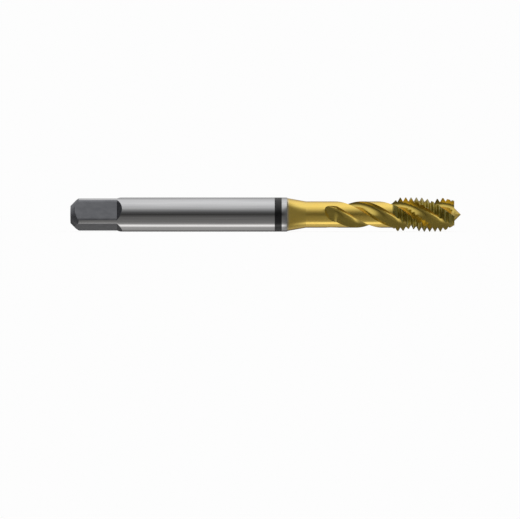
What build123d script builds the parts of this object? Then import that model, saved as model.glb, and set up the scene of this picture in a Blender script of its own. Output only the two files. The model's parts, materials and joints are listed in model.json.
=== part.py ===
from build123d import *
from math import atan2, ceil, cos, degrees, floor, radians, sin, sqrt, tan
import os

# Machine tap for right-hand M8 x 1.25 thread: three spiral flutes, a square for the
# driver, a plain shank, a reduced neck and an external centre at the point.
# X runs along the axis from the flat drive end (X = 0) to the point, +Z is up.
# An angle round the axis is measured from +Y towards +Z.

# Driving dimensions, in millimetres and degrees.
# Lengths along the axis
body_length = 90.0
shank_length = 50.9
thread_length = 14.5
lead_length = 3.2
# Shank, neck and point
shank_diameter = 8.0
shank_chamfer = 0.14
drive_end_flat = 4.1
neck_relief = 0.04
neck_taper = 10.0
point_diameter = 3.15
point_flat = 0.1
# Driving square
square_width = 6.2
square_length = 10.9
square_bevel = 36.0
square_turn = -20.0
# Thread
pitch = 1.25
crest_diameter = 8.06
crest_flat = 0.12
root_flat = 0.10
thread_angle = 60.0
back_cone = 32.0
lead_angle = 13.5
crest_setback = 0.11
# Flutes
flute_count = 3
flute_lead = 30.0
flute_length = 27.5
flute_width = 80.0
core_diameter = 3.46
rake = 10.0
bottom_radius = 1.3
heel_radius = 25.0
edge_setback = 2.10
# The grinding wheel lifts out of each flute on this arc and leans over by this angle,
# and so the flute keeps only a share of the helix's turn there.
run_out_radius = 4.5
run_out_lean = 27.0
run_out_turn = 0.25
run_out_steps = 5

# How far a cutting tool stands clear of what it cuts
overcut = 1.0
groove_overcut = 0.08
groove_overrun = 17.5

shank_radius = shank_diameter / 2
crest_radius = crest_diameter / 2
core_radius = core_diameter / 2
flank = thread_angle / 2
thread_depth = (pitch - crest_flat - root_flat) / (2 * tan(radians(flank)))
root_radius = crest_radius - thread_depth
# The neck is ground just below the thread's root, so that the grooves end in the open.
neck_radius = root_radius - neck_relief
thread_start = body_length - thread_length
flute_start = body_length - flute_length
land_width = 360 / flute_count - flute_width


def station(x, angle=0.0):
    """Plane across the axis at X = x, with its own X axis turned to the angle."""
    turned = (0, cos(radians(angle)), sin(radians(angle)))
    return Plane(origin=(x, 0, 0), x_dir=turned, z_dir=(1, 0, 0))


def edge_angle(x):
    """Where the first cutting edge stands at X = x: straight up at its setback."""
    return 90 + (x - body_length + edge_setback) * 360 / flute_lead


def flute_points():
    """Corners and arc centres of the flute's void, with the cutting edge on local +X."""
    edge = Vector(crest_radius, 0)
    inwards = Vector(-cos(radians(rake)), -sin(radians(rake)))
    side = Vector(-sin(radians(rake)), cos(radians(rake)))
    # The bottom arc is tangent to the rake face and touches the core circle.
    start = edge + side * bottom_radius
    along = start.dot(inwards)
    reach = (core_radius + bottom_radius) ** 2 - start.dot(start)
    bottom_centre = start - inwards * (along + sqrt(along**2 + reach))
    rake_foot = bottom_centre - side * bottom_radius
    # The heel arc bulges into the flute, from the bottom arc out to the heel.
    heel = Vector(crest_radius, 0).rotate(Axis.Z, flute_width)
    span = heel - bottom_centre
    joined = heel_radius + bottom_radius
    near = (joined**2 - heel_radius**2 + span.length**2) / (2 * span.length)
    across = Vector(-span.Y, span.X).normalized() * sqrt(joined**2 - near**2)
    heel_centre = bottom_centre + span.normalized() * near + across
    bottom_end = bottom_centre + (heel_centre - bottom_centre).normalized() * bottom_radius
    return edge, inwards, rake_foot, bottom_centre, bottom_end, heel_centre, heel


def arc_middle(centre, start, end):
    """Point half-way round the shorter arc from start to end."""
    towards = (start - centre).normalized() + (end - centre).normalized()
    return centre + towards.normalized() * (start - centre).length


def flute_section(x, turn, lift=0.0):
    """The flute's void across the axis at X = x, moved outwards by lift."""
    edge, inwards, rake_foot, bottom_centre, bottom_end, heel_centre, heel = flute_points()
    outer_edge = edge - inwards * overcut
    heel_line = (heel - heel_centre).rotate(Axis.Z, 90).normalized()
    outer_heel = heel + heel_line * overcut
    outside = (outer_heel + outer_edge).normalized() * (crest_radius + 2 * overcut)
    plane = station(x, turn)
    plane.origin = plane.from_local_coords(bottom_centre.normalized() * lift)
    with BuildSketch(plane) as section:
        with BuildLine():
            Line(outer_edge, rake_foot)
            ThreePointArc(rake_foot, arc_middle(bottom_centre, rake_foot, bottom_end), bottom_end)
            ThreePointArc(bottom_end, arc_middle(heel_centre, bottom_end, heel), heel)
            Line(heel, outer_heel)
            ThreePointArc(outer_heel, outside, outer_edge)
        make_face()
    return section.sketch.face()


def flute_cutter():
    """Solids that cut one flute: the twisted length and its rounded run-out."""
    front = body_length + overcut
    length = front - flute_start
    twisted = Solid.extrude_linear_with_rotation(
        flute_section(front, edge_angle(front)),
        (front, 0, 0),
        (-length, 0, 0),
        length * 360 / flute_lead,
    )
    lift_out = neck_radius - core_radius + groove_overcut
    travel = sqrt(2 * run_out_radius * lift_out - lift_out**2)
    sections = []
    for step in range(run_out_steps + 1):
        along = travel * step / run_out_steps
        back = along * cos(radians(run_out_lean))
        lift = run_out_radius - sqrt(run_out_radius**2 - along**2)
        turn = edge_angle(flute_start) - run_out_turn * back * 360 / flute_lead
        sections.append(flute_section(flute_start - back, turn, lift))
    with BuildPart() as run_out:
        loft(sections)
    return [twisted, run_out.solid()]


def groove_cutter():
    """One short turn of the thread groove, with its middle at X = 0 and angle 0."""
    climb = pitch * (land_width + 2 * groove_overrun) / 360
    deep = thread_depth + groove_overcut
    spread = deep * tan(radians(flank))
    with BuildPart() as groove:
        with BuildLine() as path:
            Helix(pitch, climb, root_radius, center=(-climb / 2, 0, 0), direction=(1, 0, 0))
        start = path.line @ 0
        outwards = Vector(0, start.Y, start.Z).normalized()
        with BuildSketch(Plane(origin=start, x_dir=outwards, z_dir=path.line % 0)):
            with BuildLine():
                Polyline(
                    (0, -root_flat / 2),
                    (deep, -root_flat / 2 - spread),
                    (deep, root_flat / 2 + spread),
                    (0, root_flat / 2),
                    close=True,
                )
            make_face()
        sweep(path=path.line, is_frenet=True)
    middle = path.line @ 0.5
    return groove.part.rotate(Axis.X, -degrees(atan2(middle.Z, middle.Y)))


def groove_places():
    """X and angle of each groove tool, where the thread groove crosses a land's middle."""
    flute_slope = 360 / flute_lead
    thread_slope = 360 / pitch
    land_start = edge_angle(0) - land_width / 2
    groove_start = 90 - (body_length - crest_setback - pitch / 2) * thread_slope
    # The groove runs at thread_slope and the lands at flute_slope, so they meet each
    # time that the angle between them has grown by one land.
    gain = thread_slope - flute_slope
    step = 360 / flute_count / gain
    meeting = (land_start - groove_start) / gain
    first = ceil((thread_start - pitch - meeting) / step)
    last = floor((body_length + pitch - meeting) / step)
    places = []
    for count in range(first, last + 1):
        x = meeting + count * step
        places.append((x, groove_start + thread_slope * x))
    return places


flutes = [
    cutter.rotate(Axis.X, flute * 360 / flute_count)
    for cutter in flute_cutter()
    for flute in range(flute_count)
]
groove = groove_cutter()
grooves = [
    groove.rotate(Axis.X, angle).moved(Location((x, 0, 0))) for x, angle in groove_places()
]

with BuildPart() as spiral_flute_tap:
    # Turned blank: drive end, shank, neck taper, neck, thread body, lead and point
    taper_top = shank_radius - shank_chamfer
    taper_end = shank_length + (taper_top - neck_radius) / tan(radians(neck_taper))
    thread_full = thread_start + (crest_radius - neck_radius) / tan(radians(back_cone))
    lead_radius = crest_radius - lead_length * tan(radians(lead_angle))
    point_end = body_length + (point_diameter - point_flat) / 2
    with BuildSketch(Plane.XZ):
        with BuildLine():
            Polyline(
                (0, 0),
                (0, drive_end_flat / 2),
                (shank_radius - drive_end_flat / 2, shank_radius),
                (shank_length - shank_chamfer, shank_radius),
                (shank_length, taper_top),
                (taper_end, neck_radius),
                (thread_start, neck_radius),
                (thread_full, crest_radius),
                (body_length - lead_length, crest_radius),
                (body_length, lead_radius),
                (body_length, point_diameter / 2),
                (point_end, point_flat / 2),
                (point_end, 0),
                close=True,
            )
        make_face()
    revolve(axis=Axis.X)

    # Driving square: four flats, each with a sloping run-out on to the shank
    half_square = square_width / 2
    bevel_height = shank_radius - half_square + overcut
    bevel_end = square_length + bevel_height / tan(radians(square_bevel))
    flat_sides = [Plane.XZ.rotated((square_turn + 90 * side, 0, 0)) for side in range(4)]
    with BuildSketch(*flat_sides):
        with BuildLine():
            Polyline(
                (-overcut, half_square),
                (square_length, half_square),
                (bevel_end, half_square + bevel_height),
                (-overcut, half_square + bevel_height),
                close=True,
            )
        make_face()
    extrude(amount=shank_radius + overcut, both=True, mode=Mode.SUBTRACT)

    # Flutes, and then the thread on the lands that they leave
    add(flutes, clean=False, mode=Mode.SUBTRACT)
    add(grooves, clean=False, mode=Mode.SUBTRACT)

spiral_flute_tap.part.label = "spiral_flute_tap"

os.makedirs("parts", exist_ok=True)
export_step(spiral_flute_tap.part, "parts/spiral_flute_tap.step")
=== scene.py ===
"""Looks of a spiral-flute machine tap, M8 x 1.25, lying on a pale floor.

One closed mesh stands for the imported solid. It is a stack of rings across the tap's axis, which
is X. Its rows follow the thread and its columns follow the flutes, so that the edges are crisp.
Shapes are worked out in millimetres and radians; an angle round the axis runs from +Y to +Z.
"""

import json
import math

import bmesh
import bpy
import numpy as np
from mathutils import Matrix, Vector
from mathutils.geometry import tessellate_polygon

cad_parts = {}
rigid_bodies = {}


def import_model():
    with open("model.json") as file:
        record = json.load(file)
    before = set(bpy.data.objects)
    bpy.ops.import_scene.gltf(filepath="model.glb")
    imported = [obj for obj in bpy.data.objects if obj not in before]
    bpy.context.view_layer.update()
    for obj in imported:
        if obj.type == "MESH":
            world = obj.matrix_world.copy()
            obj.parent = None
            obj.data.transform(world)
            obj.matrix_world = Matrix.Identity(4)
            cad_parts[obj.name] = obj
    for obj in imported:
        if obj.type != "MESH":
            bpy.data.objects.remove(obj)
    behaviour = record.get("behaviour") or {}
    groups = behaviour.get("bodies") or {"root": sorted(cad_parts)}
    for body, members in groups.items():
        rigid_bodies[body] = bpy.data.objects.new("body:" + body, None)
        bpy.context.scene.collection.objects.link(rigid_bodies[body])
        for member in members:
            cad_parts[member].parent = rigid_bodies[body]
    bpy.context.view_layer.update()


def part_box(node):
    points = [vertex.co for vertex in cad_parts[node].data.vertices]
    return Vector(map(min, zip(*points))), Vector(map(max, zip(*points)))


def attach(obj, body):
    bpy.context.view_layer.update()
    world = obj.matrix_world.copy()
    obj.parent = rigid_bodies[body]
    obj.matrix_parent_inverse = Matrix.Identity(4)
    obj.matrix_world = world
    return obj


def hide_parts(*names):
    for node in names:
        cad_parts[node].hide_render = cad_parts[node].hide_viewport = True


for leftover in list(bpy.data.objects):
    bpy.data.objects.remove(leftover)
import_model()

MM = 0.001
TURN = 2 * math.pi

# Sizes of the tap, the same as the solid's but for the heel of the flutes. It is slightly
# hollow here and slightly bulging there, and reaches the neck's surface at the same place.
BODY_LENGTH = 90.0
SHANK_LENGTH = 50.9
THREAD_LENGTH = 14.5
LEAD_LENGTH = 3.2
SHANK_RADIUS = 4.0
SHANK_CHAMFER = 0.14
DRIVE_END_RADIUS = 2.05
NECK_RELIEF = 0.04
NECK_TAPER = math.radians(10.0)
POINT_RADIUS = 1.575
POINT_FLAT = 0.05
HALF_SQUARE = 3.1
SQUARE_LENGTH = 10.9
SQUARE_BEVEL = math.radians(36.0)
SQUARE_TURN = math.radians(70.0)
PITCH = 1.25
CREST_RADIUS = 4.03
CREST_FLAT = 0.12
ROOT_FLAT = 0.10
FLANK = math.radians(30.0)
BACK_CONE = math.radians(32.0)
LEAD_CONE = math.radians(13.5)
CREST_SETBACK = 0.11
FLUTES = 3
FLUTE_LEAD = 30.0
FLUTE_LENGTH = 27.5
FLUTE_WIDTH = math.radians(74.68)
CORE_RADIUS = 1.73
RAKE = math.radians(10.0)
BOTTOM_RADIUS = 1.3
HEEL_RADIUS = 6.0
EDGE_SETBACK = 2.10
RUN_OUT_RADIUS = 4.5
RUN_OUT_LEAN = math.radians(27.0)
RUN_OUT_TURN = 0.25

# Finish: the black ring's two sides, and where the gold coating starts and is full
RING_START, RING_END = 47.86, 49.51
COAT_START, COAT_FULL = 50.5, 51.5

# Fineness of the mesh
EDGE = 0.03
ROUND_COLUMNS = 144
FLAT_COLUMNS = 9
CORNER_COLUMNS = 15
FLAT_ROWS = 14
LAND_COLUMNS = 12
RAKE_COLUMNS = 18
HEEL_COLUMNS = 18
RUN_OUT_ROWS = 24
NECK_ROW = 0.25
CREST_ROWS = 2
POINT_COLUMNS = 72
ARC_STEPS = 200
RAKE_STEPS = 100
FLANK_ROWS = 5
# How often a place that depends on itself is worked out, to settle it
ROUNDS = 5
# Nearer than this two points become one, and edges sharper than this angle stay sharp
MERGE_DISTANCE = 5e-5
SHARP_ANGLE = math.radians(28)

THREAD_DEPTH = (PITCH - CREST_FLAT - ROOT_FLAT) / (2 * math.tan(FLANK))
ROOT_RADIUS = CREST_RADIUS - THREAD_DEPTH
NECK_RADIUS = ROOT_RADIUS - NECK_RELIEF
THREAD_START = BODY_LENGTH - THREAD_LENGTH
FLUTE_START = BODY_LENGTH - FLUTE_LENGTH
TAPER_TOP = SHANK_RADIUS - SHANK_CHAMFER
TAPER_END = SHANK_LENGTH + (TAPER_TOP - NECK_RADIUS) / math.tan(NECK_TAPER)
THREAD_FULL = THREAD_START + (CREST_RADIUS - NECK_RADIUS) / math.tan(BACK_CONE)
LEAD_START = BODY_LENGTH - LEAD_LENGTH
LEAD_RADIUS = CREST_RADIUS - LEAD_LENGTH * math.tan(LEAD_CONE)
CONE_LENGTH = SHANK_RADIUS - DRIVE_END_RADIUS
POINT_END = BODY_LENGTH + POINT_RADIUS - POINT_FLAT
THIRD = TURN / FLUTES
# Rings just past the square's run-outs, and just before those of the flutes
PLAIN_SHANK = 12.6
PLAIN_NECK = 58.5


def blank_radius(x):
    """Radius of the turned blank, from the drive end to the front face."""
    places = [0, CONE_LENGTH, SHANK_LENGTH - SHANK_CHAMFER, SHANK_LENGTH, TAPER_END,
              THREAD_START, THREAD_FULL, LEAD_START, BODY_LENGTH]
    radii = [DRIVE_END_RADIUS, SHANK_RADIUS, SHANK_RADIUS, TAPER_TOP, NECK_RADIUS,
             NECK_RADIUS, CREST_RADIUS, CREST_RADIUS, LEAD_RADIUS]
    return np.interp(x, places, radii)


# Rings round the axis


def ring(x, angle, radius):
    """Points at these places along, round and out from the axis, one row each."""
    x, angle, radius = np.broadcast_arrays(x, angle, radius)
    return np.stack([x, radius * np.cos(angle), radius * np.sin(angle)], axis=-1)


def round_ring(x, radius, columns=ROUND_COLUMNS):
    """A circle across the axis."""
    return ring(x, np.arange(columns) * TURN / columns, radius)


def round_rings(corners, columns=ROUND_COLUMNS):
    """Circles along a profile of (x, radius) corners, whose inner corners are eased."""
    corners = [np.array(corner, float) for corner in corners]
    places = [corners[0]]
    for before, here, after in zip(corners, corners[1:], corners[2:]):
        for towards in (before - here, after - here):
            places.append(here + EDGE * towards / np.linalg.norm(towards))
    places.append(corners[-1])
    return [round_ring(x, radius, columns) for x, radius in places]


def square_ring(x, wall, radius):
    """Four flats at this distance from the axis, joined by arcs of this radius."""
    half = math.acos(wall / radius)
    chord = radius * math.sin(half)
    cut = min(EDGE, chord / 3)
    across = np.linspace(cut - chord, chord - cut, FLAT_COLUMNS)
    arc = np.linspace(half + cut / radius, TURN / 4 - half - cut / radius, CORNER_COLUMNS)
    angle = np.concatenate([np.arctan2(across, wall), arc])
    out = np.concatenate([np.hypot(across, wall), np.full(CORNER_COLUMNS, radius)])
    turns = SQUARE_TURN + np.arange(4)[:, None] * TURN / 4
    return ring(x, (turns + angle).ravel(), np.tile(out, 4))


def square_rings():
    """The driving square, from where the flats start on the end cone to their run-out."""
    full_chord = math.sqrt(SHANK_RADIUS**2 - HALF_SQUARE**2)
    shares = np.linspace(0.02, 1, FLAT_ROWS)
    rings = []
    for share in shares[:-1]:
        radius = math.hypot(HALF_SQUARE, share * full_chord)
        rings.append(square_ring(radius - DRIVE_END_RADIUS, HALF_SQUARE, radius))
    for x in (CONE_LENGTH - EDGE, CONE_LENGTH + EDGE, SQUARE_LENGTH - EDGE):
        rings.append(square_ring(x, HALF_SQUARE, float(blank_radius(x))))
    for share in shares[::-1]:
        wall = math.sqrt(SHANK_RADIUS**2 - (share * full_chord) ** 2)
        x = SQUARE_LENGTH + (wall - HALF_SQUARE) / math.tan(SQUARE_BEVEL)
        rings.append(square_ring(max(x, SQUARE_LENGTH + EDGE), wall, SHANK_RADIUS))
    # One more ring with the same columns, all of them on the shank
    x = SQUARE_LENGTH + (SHANK_RADIUS - HALF_SQUARE) / math.tan(SQUARE_BEVEL) + EDGE
    last = rings[-1]
    return rings + [ring(x, np.arctan2(last[:, 2], last[:, 1]), SHANK_RADIUS)]


# Flutes


def unit(angle):
    """Direction at this angle, in the plane of a section."""
    return np.array([math.cos(angle), math.sin(angle)])


def arc_points(centre, start, end):
    """Points close together on the shorter arc round centre, after start and up to end."""
    first = math.atan2(*(start - centre)[::-1])
    last = math.atan2(*(end - centre)[::-1])
    swept = (last - first + math.pi) % TURN - math.pi
    radius = np.linalg.norm(start - centre)
    shares = (np.arange(ARC_STEPS) + 1) / ARC_STEPS
    return [centre + radius * unit(first + swept * share) for share in shares]


def flute_curve():
    """One flute's section, with its cutting edge on the first axis: down the rake face, round
    the bottom and out over the heel. Also gives the direction in which it lifts out."""
    edge = np.array([CREST_RADIUS, 0.0])
    inwards, side = -unit(RAKE), unit(RAKE + TURN / 4)
    start = edge + side * BOTTOM_RADIUS
    along = start @ inwards
    reach = (CORE_RADIUS + BOTTOM_RADIUS) ** 2 - start @ start
    bottom = start - inwards * (along + math.sqrt(along**2 + reach))
    rake_foot = bottom - side * BOTTOM_RADIUS
    heel = CREST_RADIUS * unit(FLUTE_WIDTH)
    span = heel - bottom
    gap = np.linalg.norm(span)
    # The heel arc is hollow like the bottom arc that it touches, and so the distance between
    # their centres is the difference of their radii.
    joined = HEEL_RADIUS - BOTTOM_RADIUS
    near = (joined**2 - HEEL_RADIUS**2 + gap**2) / (2 * gap)
    across = np.array([span[1], -span[0]]) / gap * math.sqrt(joined**2 - near**2)
    back = bottom + span / gap * near + across
    bottom_end = bottom - (back - bottom) / joined * BOTTOM_RADIUS
    outside = (back - heel) / HEEL_RADIUS
    points = [edge - inwards, *np.linspace(edge, rake_foot, RAKE_STEPS)]
    points += arc_points(bottom, rake_foot, bottom_end)
    points += arc_points(back, bottom_end, heel)
    points += [heel + np.array([-outside[1], outside[0]])]
    return np.array(points), bottom / np.linalg.norm(bottom)


FLUTE_POINTS, WAY_OUT = flute_curve()


class FluteSection:
    """A flute's section, lifted out by some distance, and where it meets circles."""

    def __init__(self, lift=0.0):
        self.points = FLUTE_POINTS + lift * WAY_OUT
        steps = np.linalg.norm(np.diff(self.points, axis=0), axis=1)
        self.along = np.concatenate([[0], np.cumsum(steps)])
        self.radii = np.linalg.norm(self.points, axis=1)
        deepest = int(np.argmin(self.radii))
        self.middle = self.along[deepest]
        self.rake_side = slice(deepest, None, -1)
        self.heel_side = slice(deepest, None)

    def at(self, along):
        """Angle and radius at these lengths along the section."""
        y = np.interp(along, self.along, self.points[:, 0])
        z = np.interp(along, self.along, self.points[:, 1])
        return np.arctan2(z, y), np.hypot(y, z)

    def meets(self, radius, side):
        """Length along the section at which that side has this radius."""
        return np.interp(radius, self.radii[side], self.along[side])


def edge_angle(x):
    """Angle at which the first cutting edge stands."""
    return TURN / 4 + (x - BODY_LENGTH + EDGE_SETBACK) * TURN / FLUTE_LEAD


def smooth_step(share):
    """Goes from 0 to 1 with level ends."""
    return share * share * (3 - 2 * share)


def fluted_ring(land_x, bottom_x, section, turn=edge_angle):
    """A ring of three lands and three flutes. land_x(k, angle) is x on land k at angles
    counted from its cutting edge, and bottom_x is x at the bottom of the flutes."""
    share = np.linspace(0, 1, LAND_COLUMNS)
    lands = []
    for k in range(FLUTES):
        angle = (FLUTE_WIDTH - THIRD) * (1 - share)
        for _ in range(ROUNDS):
            x = np.broadcast_to(land_x(k, angle), angle.shape)
            radius = outer_radius(x, turn(x) + k * THIRD + angle)
            low = section.at(section.meets(radius, section.heel_side))[0] - THIRD
            high = section.at(section.meets(radius, section.rake_side))[0]
            cut = np.minimum(EDGE / radius, (high - low) / 8)
            angle = low + cut + (high - low - 2 * cut) * share
        lands.append((x, turn(x) + k * THIRD + angle, radius))
    down = np.linspace(0, 1, RAKE_COLUMNS)[:-1]
    up = np.linspace(0, 1, HEEL_COLUMNS)[1:]
    weight = smooth_step(np.concatenate([down, [1], 1 - up]))
    parts = []
    for k in range(FLUTES):
        edge_x, _, edge_radius = (values[-1] for values in lands[k])
        heel_x, _, heel_radius = (values[0] for values in lands[(k + 1) % FLUTES])
        first = section.meets(edge_radius, section.rake_side)
        last = section.meets(heel_radius, section.heel_side)
        cut = min(EDGE, (last - first) / 8)
        rake = first + cut + (section.middle - first - cut) * down
        heel = section.middle + (last - cut - section.middle) * up
        along = np.concatenate([rake, [section.middle], heel])
        end_x = np.where(np.arange(len(along)) <= len(rake), edge_x, heel_x)
        x = end_x + (bottom_x - end_x) * weight
        angle, radius = section.at(along)
        parts += [ring(*lands[k]), ring(x, turn(x) + k * THIRD + angle, radius)]
    return np.concatenate(parts)


def run_out_rings():
    """Rings where the flutes rise to the neck, on the arc of the grinding wheel's lift."""
    lift_out = NECK_RADIUS - CORE_RADIUS
    travel = math.sqrt(2 * RUN_OUT_RADIUS * lift_out - lift_out**2)
    rings = []
    for share in np.linspace(0.04, 1, RUN_OUT_ROWS)[:-1]:
        along = travel * (1 - share**2)
        back = along * math.cos(RUN_OUT_LEAN)
        lift = RUN_OUT_RADIUS - math.sqrt(RUN_OUT_RADIUS**2 - along**2)
        turned = edge_angle(FLUTE_START) - RUN_OUT_TURN * back * TURN / FLUTE_LEAD
        x = FLUTE_START - back
        rings.append(
            fluted_ring(lambda k, a: x, x, FluteSection(lift), lambda x: turned + 0 * x)
        )
    # One more ring with the same columns, all of them on the neck
    first = rings[0]
    x = FLUTE_START - travel * math.cos(RUN_OUT_LEAN) - EDGE
    return [ring(x, np.arctan2(first[:, 2], first[:, 1]), NECK_RADIUS)] + rings


def neck_rings():
    """Fluted rings from the end of the run-out to the start of the thread."""
    section = FluteSection()
    count = round((THREAD_START - FLUTE_START) / NECK_ROW)
    places = np.linspace(FLUTE_START, THREAD_START, count + 1)
    return [fluted_ring(lambda k, a: x, x, section) for x in places]


# Thread

GROOVE_X = BODY_LENGTH - CREST_SETBACK - PITCH / 2
# Along a column, which turns with the flutes, the thread is stretched by this much.
STRETCH = 1 / (1 - PITCH / FLUTE_LEAD)


def outer_radius(x, angle):
    """Radius of a land: the blank's, or the thread groove's where that is less."""
    past = x - GROOVE_X - PITCH * (angle - TURN / 4) / TURN
    from_middle = np.abs((past + PITCH / 2) % PITCH - PITCH / 2)
    flank = np.maximum(from_middle - ROOT_FLAT / 2, 0) / math.tan(FLANK)
    return np.minimum(blank_radius(x), ROOT_RADIUS + flank)


def groove_middle(count, land, angle):
    """x at which one turn of the groove crosses a land, at angles from its cutting edge."""
    fixed = GROOVE_X - PITCH * (BODY_LENGTH - EDGE_SETBACK) / FLUTE_LEAD
    return (fixed + PITCH * (count + land / FLUTES + angle / TURN)) * STRETCH


def groove_top(middle, side):
    """x at which a groove's flank meets the blank, before (-1) or after (1) its middle."""
    top = middle
    for _ in range(ROUNDS):
        deep = np.maximum(blank_radius(top) - ROOT_RADIUS, 0)
        top = middle + side * (ROOT_FLAT / 2 + deep * math.tan(FLANK)) * STRETCH
    return top


def groove_row(row, count, land, angle):
    """x of one row across a groove: two at each corner, and one on each flank."""
    middle = groove_middle(count, land, angle)
    side = -1 if row < FLANK_ROWS else 1
    top = groove_top(middle, side)
    foot = middle + side * ROOT_FLAT / 2 * STRETCH
    cut = np.minimum(EDGE, np.abs(top - foot) / 3)
    from_top = row if side < 0 else 2 * FLANK_ROWS - 1 - row
    return [
        top + side * cut,
        top - side * cut,
        (top + foot) / 2,
        foot + side * cut,
        foot - side * np.minimum(cut, EDGE / 2),
    ][from_top]


def thread_rings():
    """Fluted rings whose rows follow the thread, and end at the front face."""
    section = FluteSection()

    def add(land_x):
        def clipped(k, angle):
            return np.clip(land_x(k, angle), THREAD_START, BODY_LENGTH)

        middle = (FLUTE_WIDTH - THIRD) / 2
        bottom_x = sum(float(clipped(k, middle)) for k in range(FLUTES)) / FLUTES
        rings.append(fluted_ring(clipped, bottom_x, section))

    rings = []
    rows = 2 * FLANK_ROWS
    turns = math.ceil(THREAD_LENGTH / PITCH)
    # Turns are counted from the front, with one more at each end for the lands between.
    for count in range(-turns - 1, 2):
        for row in range(rows):
            add(lambda k, a: groove_row(row, count, k, a))
        for crest in range(1, CREST_ROWS + 1):
            share = crest / (CREST_ROWS + 1)
            add(lambda k, a: (1 - share) * groove_row(rows - 1, count, k, a)
                + share * groove_row(0, count + 1, k, a))
    return rings


# The whole mesh

STEEL, SATIN, RING, COAT, FLUTE, THREAD = range(6)
SQUARE_FINISH = ([SATIN] * FLAT_COLUMNS + [STEEL] * CORNER_COLUMNS) * 4
FLUTE_FINISH = [FLUTE] * (RAKE_COLUMNS + HEEL_COLUMNS)
NECK_FINISH = ([COAT] * (LAND_COLUMNS - 1) + FLUTE_FINISH) * FLUTES
THREAD_FINISH = ([THREAD] * (LAND_COLUMNS - 1) + FLUTE_FINISH) * FLUTES


class Shell:
    """Vertices and faces of a closed skin, put together ring by ring. Each face has a finish,
    which is given for the whole ring or for each of its columns."""

    def __init__(self):
        self.points = []
        self.faces = []
        self.finishes = []
        self.last = None

    def add_points(self, points):
        first = len(self.points)
        self.points += [tuple(point) for point in points]
        return list(range(first, len(self.points)))

    def add_face(self, corners, finish):
        self.faces.append(corners)
        self.finishes.append(finish)

    def start(self, points, finish):
        """Closes the skin with a flat face at the first ring."""
        self.last = self.add_points(points)
        self.add_face(self.last[::-1], finish)

    def end(self, finish):
        """Closes the skin with a flat face at the last ring."""
        self.add_face(self.last, finish)

    def add(self, points, finish):
        """Joins the next ring to the last one."""
        loop = self.add_points(points)
        if len(loop) == len(self.last):
            self.join_columns(self.last, loop, finish)
        else:
            self.join_by_angle(self.last, loop, finish)
        self.last = loop

    def join_columns(self, before, after, finish):
        """Four-sided faces between two rings with the same columns."""
        for i in range(len(before)):
            j = (i + 1) % len(before)
            own = finish if isinstance(finish, int) else finish[i]
            self.add_face((before[i], before[j], after[j], after[i]), own)

    def angle(self, index):
        return math.atan2(self.points[index][2], self.points[index][1]) % TURN

    def join_by_angle(self, before, after, finish):
        """Triangles between two circles whose columns differ."""
        loops = [sorted(loop, key=self.angle) for loop in (before, after)]
        at = [0, 0]
        while at[0] < len(before) or at[1] < len(after):
            here = [loop[n % len(loop)] for loop, n in zip(loops, at)]
            nexts = [
                self.angle(loop[(n + 1) % len(loop)]) + TURN * ((n + 1) // len(loop))
                for loop, n in zip(loops, at)
            ]
            first_moves = at[1] >= len(after) or (at[0] < len(before) and nexts[0] <= nexts[1])
            move = 0 if first_moves else 1
            at[move] += 1
            there = loops[move][at[move] % len(loops[move])]
            self.add_face((here[0], there, here[1]), finish)

    def fill_to(self, points, finish):
        """Fills the flat face between the last ring and one inside it."""
        outer, inner = self.last, self.add_points(points)
        flat = [[Vector(self.points[i][1:]).to_3d() for i in loop] for loop in (outer, inner)]
        index = outer + inner
        for triangle in tessellate_polygon(flat):
            self.add_face([index[i] for i in triangle], finish)
        self.last = inner


def turned_finish(x):
    """Finish of the turned surface just before this place."""
    if x > SHANK_LENGTH - SHANK_CHAMFER + EDGE:
        return COAT
    return RING if RING_START + EDGE < x <= RING_END + EDGE else STEEL


def tap_shell():
    """The whole skin, from the drive end to the point."""
    shell = Shell()
    shell.start(round_ring(0, DRIVE_END_RADIUS - EDGE), SATIN)
    shell.add(round_ring(EDGE, DRIVE_END_RADIUS + EDGE * 0.6), SATIN)
    shell.add(round_ring(HALF_SQUARE - DRIVE_END_RADIUS - EDGE, HALF_SQUARE - EDGE), SATIN)
    for points in square_rings():
        shell.add(points, SATIN if points[0][0] < CONE_LENGTH else SQUARE_FINISH)
    corners = [(PLAIN_SHANK, SHANK_RADIUS), (RING_START, SHANK_RADIUS),
               (RING_END, SHANK_RADIUS), (SHANK_LENGTH - SHANK_CHAMFER, SHANK_RADIUS),
               (SHANK_LENGTH, TAPER_TOP), (TAPER_END, NECK_RADIUS),
               (PLAIN_NECK, NECK_RADIUS)]
    for points in round_rings(corners):
        shell.add(points, turned_finish(points[0][0]))
    first, *fluted = run_out_rings() + neck_rings()
    shell.add(first, COAT)
    for points in fluted:
        shell.add(points, NECK_FINISH)
    for points in thread_rings():
        shell.add(points, THREAD_FINISH)
    shell.fill_to(round_ring(BODY_LENGTH, POINT_RADIUS, POINT_COLUMNS), COAT)
    for x, radius in ((POINT_END - EDGE, POINT_FLAT + EDGE), (POINT_END, POINT_FLAT / 2)):
        shell.add(round_ring(x, radius, POINT_COLUMNS), COAT)
    shell.end(COAT)
    return shell


# Node trees


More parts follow.
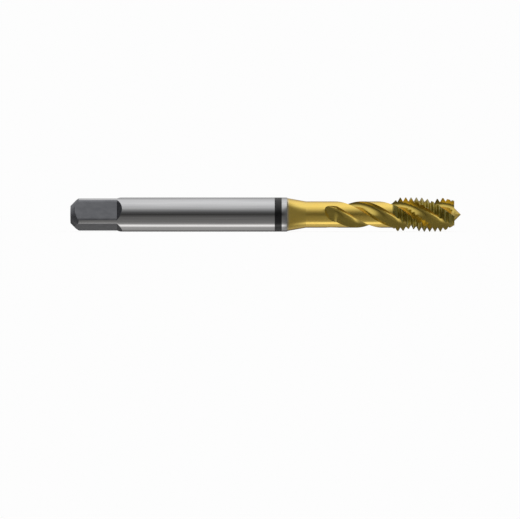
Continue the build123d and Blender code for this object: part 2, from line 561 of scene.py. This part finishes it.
class Tree:
    """The node tree of a material or of the world, with short ways to add to it."""

    def __init__(self, owner, output):
        owner.use_nodes = True
        self.tree = owner.node_tree
        self.tree.nodes.clear()
        self.output = self.tree.nodes.new(output)

    def add(self, kind, inputs=(), **settings):
        """A node with these settings, and these values or sockets on its inputs."""
        node = self.tree.nodes.new("ShaderNode" + kind)
        for name, value in settings.items():
            setattr(node, name, value)
        for name, value in dict(inputs).items():
            if isinstance(value, bpy.types.NodeSocket):
                self.tree.links.new(value, node.inputs[name])
            else:
                node.inputs[name].default_value = value
        return node

    def finish(self, shader):
        """Makes this shader what the tree puts out."""
        self.tree.links.new(shader.outputs[0], self.output.inputs["Surface"])

    def math(self, operation, *values, clamp=False):
        inputs = dict(enumerate(values))
        return self.add("Math", inputs, operation=operation, use_clamp=clamp).outputs[0]

    def between(self, value, start, end, low=0.0, high=1.0):
        """Goes smoothly from low to high while value goes from start to end."""
        inputs = {"Value": value, "From Min": start, "From Max": end,
                  "To Min": low, "To Max": high}
        return self.add("MapRange", inputs, interpolation_type="SMOOTHSTEP").outputs[0]

    def blend(self, share, first, second):
        """The first colour where share is 0, and the second where it is 1."""
        first, second = (
            (*colour, 1) if isinstance(colour, tuple) else colour for colour in (first, second)
        )
        inputs = {0: share, 6: first, 7: second}
        return self.add("Mix", inputs, data_type="RGBA").outputs[2]

    def place(self):
        """Place on the part, in millimetres."""
        metres = self.add("TexCoord").outputs["Object"]
        return self.scaled(metres, (1 / MM, 1 / MM, 1 / MM))

    def scaled(self, vector, scale):
        inputs = {0: vector, 1: scale}
        return self.add("VectorMath", inputs, operation="MULTIPLY").outputs[0]

    def split(self, vector):
        return self.add("SeparateXYZ", {0: vector}).outputs

    def untwisted(self, vector, lead):
        """The place in a frame that turns once about X in this lead."""
        angle = self.math("MULTIPLY", self.split(vector)["X"], -TURN / lead)
        inputs = {"Vector": vector, "Angle": angle}
        return self.add("VectorRotate", inputs, rotation_type="X_AXIS").outputs[0]

    def noise(self, vector, scale, detail=2.0):
        """Noise from 0 to 1, with this many features a millimetre along each axis."""
        inputs = {"Vector": self.scaled(vector, scale), "Scale": 1.0, "Detail": detail}
        return self.add("TexNoise", inputs).outputs[0]

    def bump(self, height, depth):
        """Bump whose height goes up to this depth in millimetres."""
        inputs = {"Height": height, "Distance": depth * MM, "Strength": 1.0}
        return self.add("Bump", inputs).outputs[0]

    def principled(self, colour, roughness, normal, metallic, others=()):
        """Ends a material's tree with one Principled shader."""
        inputs = dict(others)
        inputs["Base Color"] = colour
        inputs["Roughness"] = roughness
        inputs["Normal"] = normal
        inputs["Metallic"] = metallic
        self.finish(self.add("BsdfPrincipled", inputs))


def new_material(name):
    material = bpy.data.materials.new(name)
    return material, Tree(material, "ShaderNodeOutputMaterial")


# Finishes

GROUND_GREY = (0.575, 0.575, 0.58)
GROUND_LIGHT = (0.625, 0.625, 0.625)
SATIN_DARK = (0.235, 0.24, 0.255)
SATIN_LIGHT = (0.275, 0.28, 0.295)
INK = (0.004, 0.004, 0.0045)
INK_WORN = (0.012, 0.012, 0.012)
GOLD = (0.98, 0.66, 0.08)
GOLD_OLIVE = (0.95, 0.67, 0.09)
GOLD_EDGE = (1.0, 0.80, 0.42, 1)
# Gold in the flutes: darker than the neck's gold, as painted shade in these recesses of the same
# coating
SHADED_FLUTE_GOLD = (0.68, 0.49, 0.06)
SHADED_FLUTE_BROWN = (0.60, 0.43, 0.05)
# Gold on the thread: darker than the neck's gold, as painted shade between the teeth of the same
# coating
SHADED_THREAD_GOLD = (0.50, 0.42, 0.07)
SHADED_THREAD_BROWN = (0.42, 0.34, 0.055)
GOLD_METALLIC = 0.93
COAT_SHEEN_IOR = 1.8
COAT_SHEEN_ROUGHNESS = 0.12


def nitride(tree, colour, roughness, normal, sheen):
    """Ends a gold finish, with its pale edge and a clear sheen of this weight."""
    others = {
        "Specular Tint": GOLD_EDGE,
        "Coat Weight": sheen,
        "Coat IOR": COAT_SHEEN_IOR,
        "Coat Roughness": COAT_SHEEN_ROUGHNESS,
    }
    tree.principled(colour, roughness, normal, GOLD_METALLIC, others)


def ground_steel():
    """Centreless-ground shank: fine lines round it, and faint long streaks."""
    material, tree = new_material("ground_steel")
    place = tree.place()
    lines = tree.noise(place, (12.0, 0.2, 0.2), 3.0)
    streaks = tree.noise(place, (0.06, 2.5, 2.5), 4.0)
    colour = tree.blend(tree.between(streaks, 0.35, 0.65), GROUND_GREY, GROUND_LIGHT)
    roughness = tree.between(lines, 0.3, 0.7, 0.085, 0.125)
    tree.principled(colour, roughness, tree.bump(lines, 0.0005), metallic=1.0)
    return material


def satin_steel():
    """Square and end cone, with the dull skin of the hardening furnace."""
    material, tree = new_material("satin_steel")
    place = tree.place()
    grain = tree.noise(place, (9.0, 9.0, 9.0), 3.0)
    clouds = tree.noise(place, (0.5, 0.9, 0.9), 3.0)
    colour = tree.blend(tree.between(clouds, 0.3, 0.7), SATIN_DARK, SATIN_LIGHT)
    roughness = tree.between(grain, 0.3, 0.7, 0.30, 0.40)
    tree.principled(colour, roughness, tree.bump(grain, 0.003), metallic=1.0)
    return material


def black_ring():
    """Ring of black marking ink, a little uneven."""
    material, tree = new_material("black_ring")
    place = tree.place()
    patches = tree.noise(place, (1.2, 1.2, 1.2), 4.0)
    colour = tree.blend(tree.between(patches, 0.5, 0.75), INK, INK_WORN)
    roughness = tree.between(patches, 0.3, 0.7, 0.16, 0.24)
    tree.principled(colour, roughness, tree.bump(patches, 0.002), metallic=0.0)
    return material


def coat():
    """Titanium nitride on the turned neck. It fades in from the steel of the shank."""
    material, tree = new_material("coat")
    place = tree.place()
    lines = tree.noise(place, (9.0, 0.2, 0.2), 3.0)
    clouds = tree.noise(place, (0.25, 0.5, 0.5), 3.0)
    gold = tree.blend(tree.between(clouds, 0.3, 0.7), GOLD, GOLD_OLIVE)
    uneven = tree.math("MULTIPLY_ADD", clouds, 0.5, tree.split(place)["X"])
    share = tree.between(uneven, COAT_START + 0.25, COAT_FULL + 0.25)
    roughness = tree.between(lines, 0.3, 0.7, 0.16, 0.22)
    roughness = tree.math("MULTIPLY", roughness, tree.between(share, 0, 1, 0.55, 1.0))
    colour = tree.blend(share, GROUND_GREY, gold)
    nitride(tree, colour, roughness, tree.bump(lines, 0.0006), sheen=1.0)
    return material


def coat_flute():
    """Titanium nitride in the flutes, over grinding lines that run along them. Its gold is darker
    than the neck's, as painted shade in the flutes, with clouds of tone.
    """
    material, tree = new_material("coat_flute")
    place = tree.untwisted(tree.place(), FLUTE_LEAD)
    lines = tree.noise(place, (0.15, 7.0, 7.0), 3.0)
    clouds = tree.noise(place, (0.2, 0.6, 0.6), 3.0)
    colour = tree.blend(tree.between(clouds, 0.3, 0.7), SHADED_FLUTE_GOLD, SHADED_FLUTE_BROWN)
    roughness = tree.between(lines, 0.3, 0.7, 0.16, 0.24)
    nitride(tree, colour, roughness, tree.bump(lines, 0.002), sheen=0.7)
    return material


def coat_thread():
    """Titanium nitride on the thread, over grinding lines that run along its flanks. Its gold is
    darker than the neck's, as painted shade between the teeth, with clouds of tone.
    """
    material, tree = new_material("coat_thread")
    place = tree.place()
    lines = tree.noise(place, (14.0, 0.4, 0.4), 2.0)
    clouds = tree.noise(place, (0.5, 0.6, 0.6), 3.0)
    colour = tree.blend(tree.between(clouds, 0.3, 0.7), SHADED_THREAD_GOLD, SHADED_THREAD_BROWN)
    roughness = tree.between(lines, 0.3, 0.7, 0.30, 0.40)
    nitride(tree, colour, roughness, tree.bump(lines, 0.001), sheen=0.8)
    return material


# Studio

# The picture: its size in pixels, its scale, and where the axis and the drive end are in it
IMAGE_WIDTH, IMAGE_HEIGHT = 520, 519
MM_PER_PIXEL = 0.23465
AXIS_ROW = 214.53
DRIVE_END_COLUMN = 70.57
# Lengths from here on are in metres.
CAMERA_DISTANCE = 1.5
PAPER = 0.982
FLOOR_HALF_WIDTH = 4.0
FLOOR_COLOUR = 0.5
WORLD_LIGHT = 0.8
TENT_RADIUS = 0.6
TENT_LENGTH = 3.0
TENT_CENTRE = 0.045
TENT_SIDES = 96
# Brightness round the tent, by the angle in degrees from its front (-Y) up and over the tap
TENT_LIGHT = (
    (-180, 0.04), (-152, 0.09), (-132, 0.36), (-112, 0.50), (-98, 0.46), (-88, 1.05),
    (-80, 1.50), (-72, 0.80), (-64, 0.33), (-50, 0.24), (-20, 0.17), (0, 0.05), (14, 0.11),
    (27, 0.28), (42, 0.58), (56, 0.76), (75, 0.96), (105, 0.95), (122, 0.80), (140, 0.53),
    (180, 0.35),
)
TENT_COOL = (0.99, 0.99, 1.0)
TENT_WARM = (1.0, 0.98, 0.96)
# Light at its left and right ends
TENT_LEFT = (0.07, 0.07, 0.075)
TENT_RIGHT = (0.14, 0.14, 0.14)
# Distances along X from its centre between which the light changes to that of an end. On the
# right they differ low and high on the front, between these angles (in radians), and on the
# way to the back, between the last two angles, this change goes away.
FADE_LEFT = (-0.14, -0.8)
FADE_RIGHT_LOW = (-0.04, 0.34)
FADE_RIGHT_HIGH = (0.22, 0.38)
LOW_TO_HIGH = (0.5, 1.3)
FRONT_TO_BACK = (1.9, 2.4)
# Folds of the tent's cloth: how many along it and round it, and how dark and light
FOLDS_ALONG, FOLDS_ROUND = 18.0, 9.0
FOLD_LIGHT = (0.92, 1.08)


def place_object(name, mesh):
    """A new object in the scene, with this mesh or camera."""
    thing = bpy.data.objects.new(name, mesh)
    bpy.context.scene.collection.objects.link(thing)
    return thing


def make_camera():
    """Looks along +Y at the height of the axis, through a long lens."""
    data = bpy.data.cameras.new("camera")
    data.lens = data.sensor_width * CAMERA_DISTANCE / (IMAGE_WIDTH * MM_PER_PIXEL * MM)
    data.clip_start = 0.01
    data.shift_y = (AXIS_ROW - IMAGE_HEIGHT / 2) / IMAGE_WIDTH
    camera = place_object("camera", data)
    x = (IMAGE_WIDTH / 2 - DRIVE_END_COLUMN) * MM_PER_PIXEL * MM
    camera.location = (x, -CAMERA_DISTANCE, 0)
    camera.rotation_euler = (math.pi / 2, 0, 0)
    bpy.context.scene.camera = camera


def make_world():
    """Plain light, with a paper-white backdrop for what sees it directly or mirrors it."""
    world = bpy.data.worlds.new("studio")
    bpy.context.scene.world = world
    tree = Tree(world, "ShaderNodeOutputWorld")
    path = tree.add("LightPath").outputs
    seen = tree.math("ADD", path["Is Camera Ray"], path["Is Glossy Ray"])
    seen = tree.math("ADD", seen, path["Is Transmission Ray"], clamp=True)
    light = tree.add("Background", {"Color": (WORLD_LIGHT, WORLD_LIGHT, WORLD_LIGHT, 1)})
    backdrop = tree.add("Background", {"Color": (PAPER, PAPER, PAPER, 1)})
    inputs = {0: seen, 1: light.outputs[0], 2: backdrop.outputs[0]}
    tree.finish(tree.add("MixShader", inputs))


def make_floor():
    """Pale table under the tap, which keeps its shadow."""
    low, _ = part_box("spiral_flute_tap")
    near, far = -FLOOR_HALF_WIDTH, FLOOR_HALF_WIDTH
    corners = [(near, near, low.z), (far, near, low.z), (far, far, low.z), (near, far, low.z)]
    mesh = bpy.data.meshes.new("floor")
    mesh.from_pydata(corners, [], [(0, 1, 2, 3)])
    floor = place_object("floor", mesh)
    floor.visible_glossy = False
    material, tree = new_material("floor")
    glow = PAPER - FLOOR_COLOUR * WORLD_LIGHT
    diffuse = tree.add("BsdfDiffuse", {"Color": (FLOOR_COLOUR, FLOOR_COLOUR, FLOOR_COLOUR, 1)})
    emission = tree.add("Emission", {"Color": (glow, glow, glow, 1)})
    tree.finish(tree.add("AddShader", {0: diffuse.outputs[0], 1: emission.outputs[0]}))
    mesh.materials.append(material)


def tent_ramp(tree, angle):
    """The tent's light by the angle round it."""
    ramp = tree.add("ValToRGB", {0: tree.math("MULTIPLY_ADD", angle, 1 / TURN, 0.5)})
    stops = ramp.color_ramp.elements
    while len(stops) < len(TENT_LIGHT):
        stops.new(0.5)
    for stop, (degrees, light) in zip(stops, TENT_LIGHT):
        tint = TENT_COOL if degrees > 0 else TENT_WARM
        stop.position = degrees / 360 + 0.5
        stop.color = (*(light * part for part in tint), 1)
    return ramp.outputs[0]


def tent_folds(tree, x, angle):
    """Slightly uneven light from the folds of the cloth."""
    along = tree.math("MULTIPLY", x, FOLDS_ALONG)
    round_it = tree.math("MULTIPLY", angle, FOLDS_ROUND)
    place = tree.add("CombineXYZ", {"X": along, "Y": round_it}).outputs[0]
    noise = tree.add("TexNoise", {"Vector": place, "Scale": 1.0, "Detail": 2.0})
    return tree.between(noise.outputs[0], 0.3, 0.7, *FOLD_LIGHT)


def tent_fades(tree, x, angle):
    """How far the light has faded on the left and on the right, from 0 to 1."""
    start, end = (
        tree.between(angle, *LOW_TO_HIGH, TENT_CENTRE + low, TENT_CENTRE + high)
        for low, high in zip(FADE_RIGHT_LOW, FADE_RIGHT_HIGH)
    )
    right = tree.between(x, start, end)
    left = tree.between(x, *(TENT_CENTRE + edge for edge in FADE_LEFT))
    front = tree.between(tree.math("ABSOLUTE", angle), *FRONT_TO_BACK, 1.0, 0.0)
    return tree.math("MULTIPLY", left, front), tree.math("MULTIPLY", right, front)


def tent_material():
    """Glowing inside of the tent: a soft box above, and dark in front and at the ends."""
    material, tree = new_material("tent")
    place = tree.split(tree.add("NewGeometry").outputs["Position"])
    forward = tree.math("MULTIPLY", place["Y"], -1.0)
    angle = tree.math("ARCTAN2", place["Z"], forward)
    left, right = tent_fades(tree, place["X"], angle)
    light = tree.blend(right, tent_ramp(tree, angle), TENT_RIGHT)
    light = tree.blend(left, light, TENT_LEFT)
    folds = tent_folds(tree, place["X"], angle)
    tree.finish(tree.add("Emission", {"Color": light, "Strength": folds}))
    material.cycles.emission_sampling = "NONE"
    return material


def make_tent():
    """Light tent along the tap, which shows only where metal mirrors it."""
    mesh = bpy.data.meshes.new("tent")
    work = bmesh.new()
    bmesh.ops.create_cone(work, cap_ends=True, segments=TENT_SIDES, radius1=TENT_RADIUS,
                          radius2=TENT_RADIUS, depth=TENT_LENGTH)
    work.to_mesh(mesh)
    work.free()
    mesh.materials.append(tent_material())
    tent = place_object("tent", mesh)
    tent.rotation_euler = (0, math.pi / 2, 0)
    tent.location = (TENT_CENTRE, 0, 0)
    tent.visible_camera = False
    tent.visible_diffuse = False
    tent.visible_transmission = False
    tent.visible_shadow = False


def make_tap(materials):
    """The tap's mesh as an object, in metres, with its finishes."""
    shell = tap_shell()
    work = bmesh.new()
    points = [work.verts.new(point) for point in shell.points]
    for corners, finish in zip(shell.faces, shell.finishes):
        face = work.faces.new([points[i] for i in corners])
        face.material_index = finish
        face.smooth = True
    bmesh.ops.remove_doubles(work, verts=work.verts, dist=MERGE_DISTANCE)
    bmesh.ops.dissolve_degenerate(work, edges=work.edges, dist=MERGE_DISTANCE)
    bmesh.ops.scale(work, vec=(MM, MM, MM), verts=work.verts)
    mesh = bpy.data.meshes.new("tap_body")
    work.to_mesh(mesh)
    work.free()
    mesh.set_sharp_from_angle(angle=SHARP_ANGLE)
    for material in materials:
        mesh.materials.append(material)
    return place_object("tap_body", mesh)


bpy.context.scene.view_settings.view_transform = "Standard"

make_camera()
make_world()
make_floor()
make_tent()
finishes = [ground_steel(), satin_steel(), black_ring(), coat(), coat_flute(), coat_thread()]
tap = make_tap(finishes)
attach(tap, "root")
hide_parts("spiral_flute_tap")
